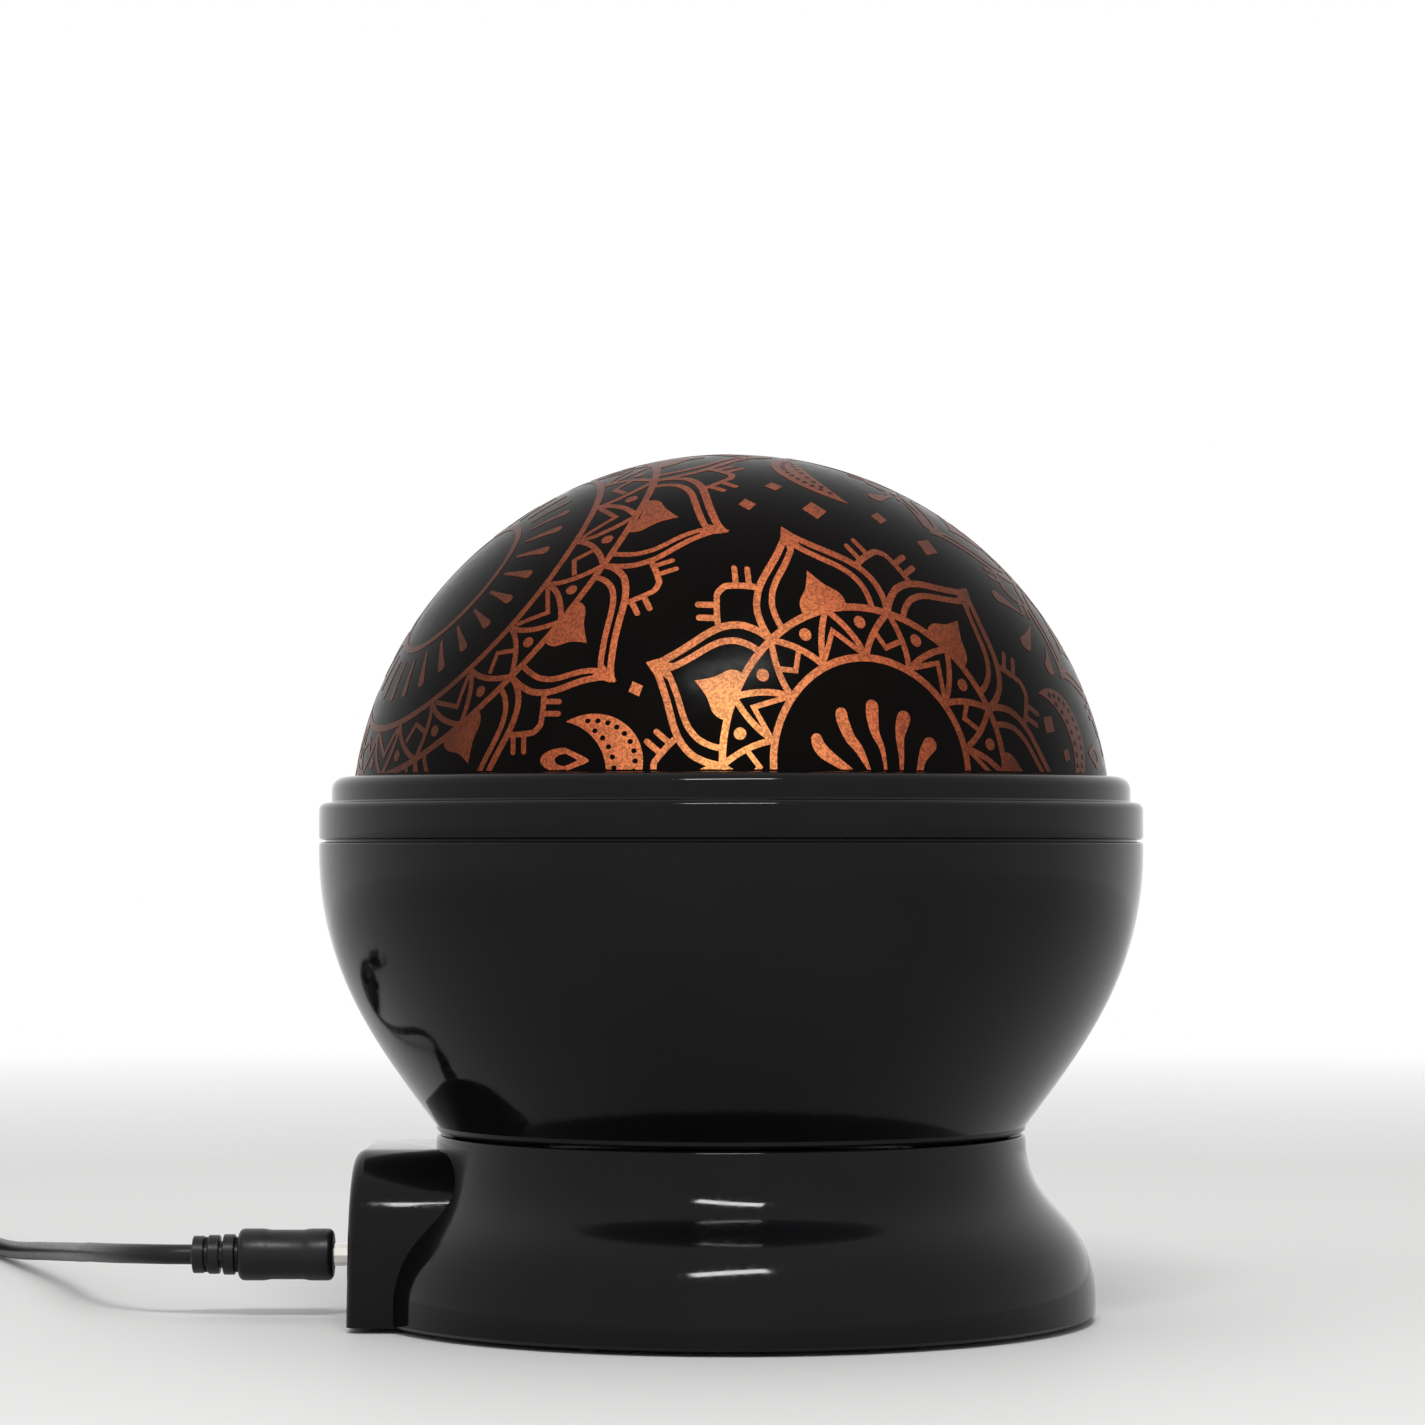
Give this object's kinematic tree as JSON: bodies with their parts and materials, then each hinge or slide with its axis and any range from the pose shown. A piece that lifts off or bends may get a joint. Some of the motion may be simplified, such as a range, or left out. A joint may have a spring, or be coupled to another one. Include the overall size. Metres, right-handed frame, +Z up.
{
  "type": "light projector",
  "caption": "Rotating night-light projector: a round patterned dome in a stepped collar on a bowl that turns on a flared base, with keys and a plugged-in power lead.",
  "frame": {"origin": "on the surface it stands on, under the axis that the bowl turns on", "axes": "+Z up along the turning axis; -X towards the control box and its plug; -Y towards the camera of the picture"},
  "size_m": [0.2566, 0.1981, 0.13],
  "materials": {
    "gloss_black": "high gloss black moulding",
    "satin_black": "satin black moulding",
    "printed_dome": "clear dome printed black with a glowing amber pattern",
    "rubber_black": "matt rubber",
    "cord_black": "smooth flexible sleeve",
    "white_plastic": "white moulding",
    "nylon": "natural nylon",
    "board_green": "green circuit board",
    "steel": "plated steel",
    "nickel": "nickel plate",
    "cell_sleeve": "plain blue cell sleeve",
    "lamp_warm": "warm lamp lens",
    "lamp_red": "red lamp lens",
    "lamp_green": "green lamp lens",
    "lamp_blue": "blue lamp lens"
  },
  "bodies": {
    "base": {"base_housing": "gloss_black", "bottom_cover": "satin_black", "foot_1": "rubber_black", "foot_2": "rubber_black", "foot_3": "rubber_black", "foot_4": "rubber_black", "cover_screw_1": "steel", "cover_screw_2": "steel", "cover_screw_3": "steel", "battery_cell_1": "cell_sleeve", "battery_cell_2": "cell_sleeve", "battery_cell_3": "cell_sleeve", "battery_cell_4": "cell_sleeve", "contact_strip_left": "nickel", "contact_strip_right": "nickel", "control_panel": "satin_black", "control_board": "board_green", "switch_light": "satin_black", "switch_colour": "satin_black", "switch_turn": "satin_black", "power_socket": "satin_black", "lamp_post": "white_plastic", "post_screw_1": "steel", "post_screw_2": "steel", "thrust_washer": "nylon", "retaining_clip": "steel", "idler_axle": "steel", "gear_motor": "steel", "motor_screw_1": "steel", "motor_screw_2": "steel", "lamp_board": "board_green", "lamp_warm": "lamp_warm", "lamp_red": "lamp_red", "lamp_green": "lamp_green", "lamp_blue": "lamp_blue"},
    "turning_bowl": {"bowl": "gloss_black", "ring_gear": "nylon", "gear_screw_1": "steel", "gear_screw_2": "steel", "gear_screw_3": "steel", "bearing_bush": "nylon", "lamp_tray": "white_plastic", "collar_ring": "gloss_black"},
    "dome": {"projection_dome": "printed_dome"},
    "idler": {"idler_gear": "nylon"},
    "motor_shaft": {"motor_pinion": "nylon"},
    "key_light": {"button_light": "satin_black"},
    "key_colour": {"button_colour": "satin_black"},
    "key_turn": {"button_turn": "satin_black"},
    "door": {"battery_door": "satin_black"},
    "power_lead": {"plug_barrel": "nickel", "plug_body": "cord_black", "power_cord": "cord_black", "power_cord_coil": "cord_black", "cord_tie": "satin_black", "usb_grip": "cord_black", "usb_shell": "nickel"}
  },
  "joints": [
    {"name": "bowl_spin", "type": "hinge", "parent": "base", "child": "turning_bowl", "pos_m": [0, 0, 0.034], "axis": [0, 0, 1], "continuous": true},
    {"name": "idler_spin", "type": "hinge", "parent": "base", "child": "idler", "pos_m": [0, 0.027, 0.03], "axis": [0, 0, 1], "continuous": true},
    {"name": "motor_spin", "type": "hinge", "parent": "base", "child": "motor_shaft", "pos_m": [0.01039, 0.033, 0.025], "axis": [0, 0, 1], "continuous": true},
    {"name": "dome_lift", "type": "slide", "parent": "turning_bowl", "child": "dome", "axis": [0, 0, 1], "range_m": [0, 0.06]},
    {"name": "light_key_press", "type": "slide", "parent": "base", "child": "key_light", "axis": [1, 0, 0], "range_m": [0, 0.0006], "stiffness_N_per_m": 1500, "springref_m": -0.0004},
    {"name": "colour_key_press", "type": "slide", "parent": "base", "child": "key_colour", "axis": [1, 0, 0], "range_m": [0, 0.0006], "stiffness_N_per_m": 1500, "springref_m": -0.0004},
    {"name": "turn_key_press", "type": "slide", "parent": "base", "child": "key_turn", "axis": [1, 0, 0], "range_m": [0, 0.0006], "stiffness_N_per_m": 1500, "springref_m": -0.0004},
    {"name": "door_drop", "type": "slide", "parent": "base", "child": "door", "axis": [0, 0, -1], "range_m": [0, 0.03]},
    {"name": "plug_pull", "type": "slide", "parent": "base", "child": "power_lead", "axis": [-1, 0, 0], "range_m": [0, 0.013]}
  ],
  "couplings": [
    {"joint": "idler_spin", "follows": "bowl_spin", "ratio": 5.5},
    {"joint": "motor_spin", "follows": "bowl_spin", "ratio": -16.5}
  ]
}
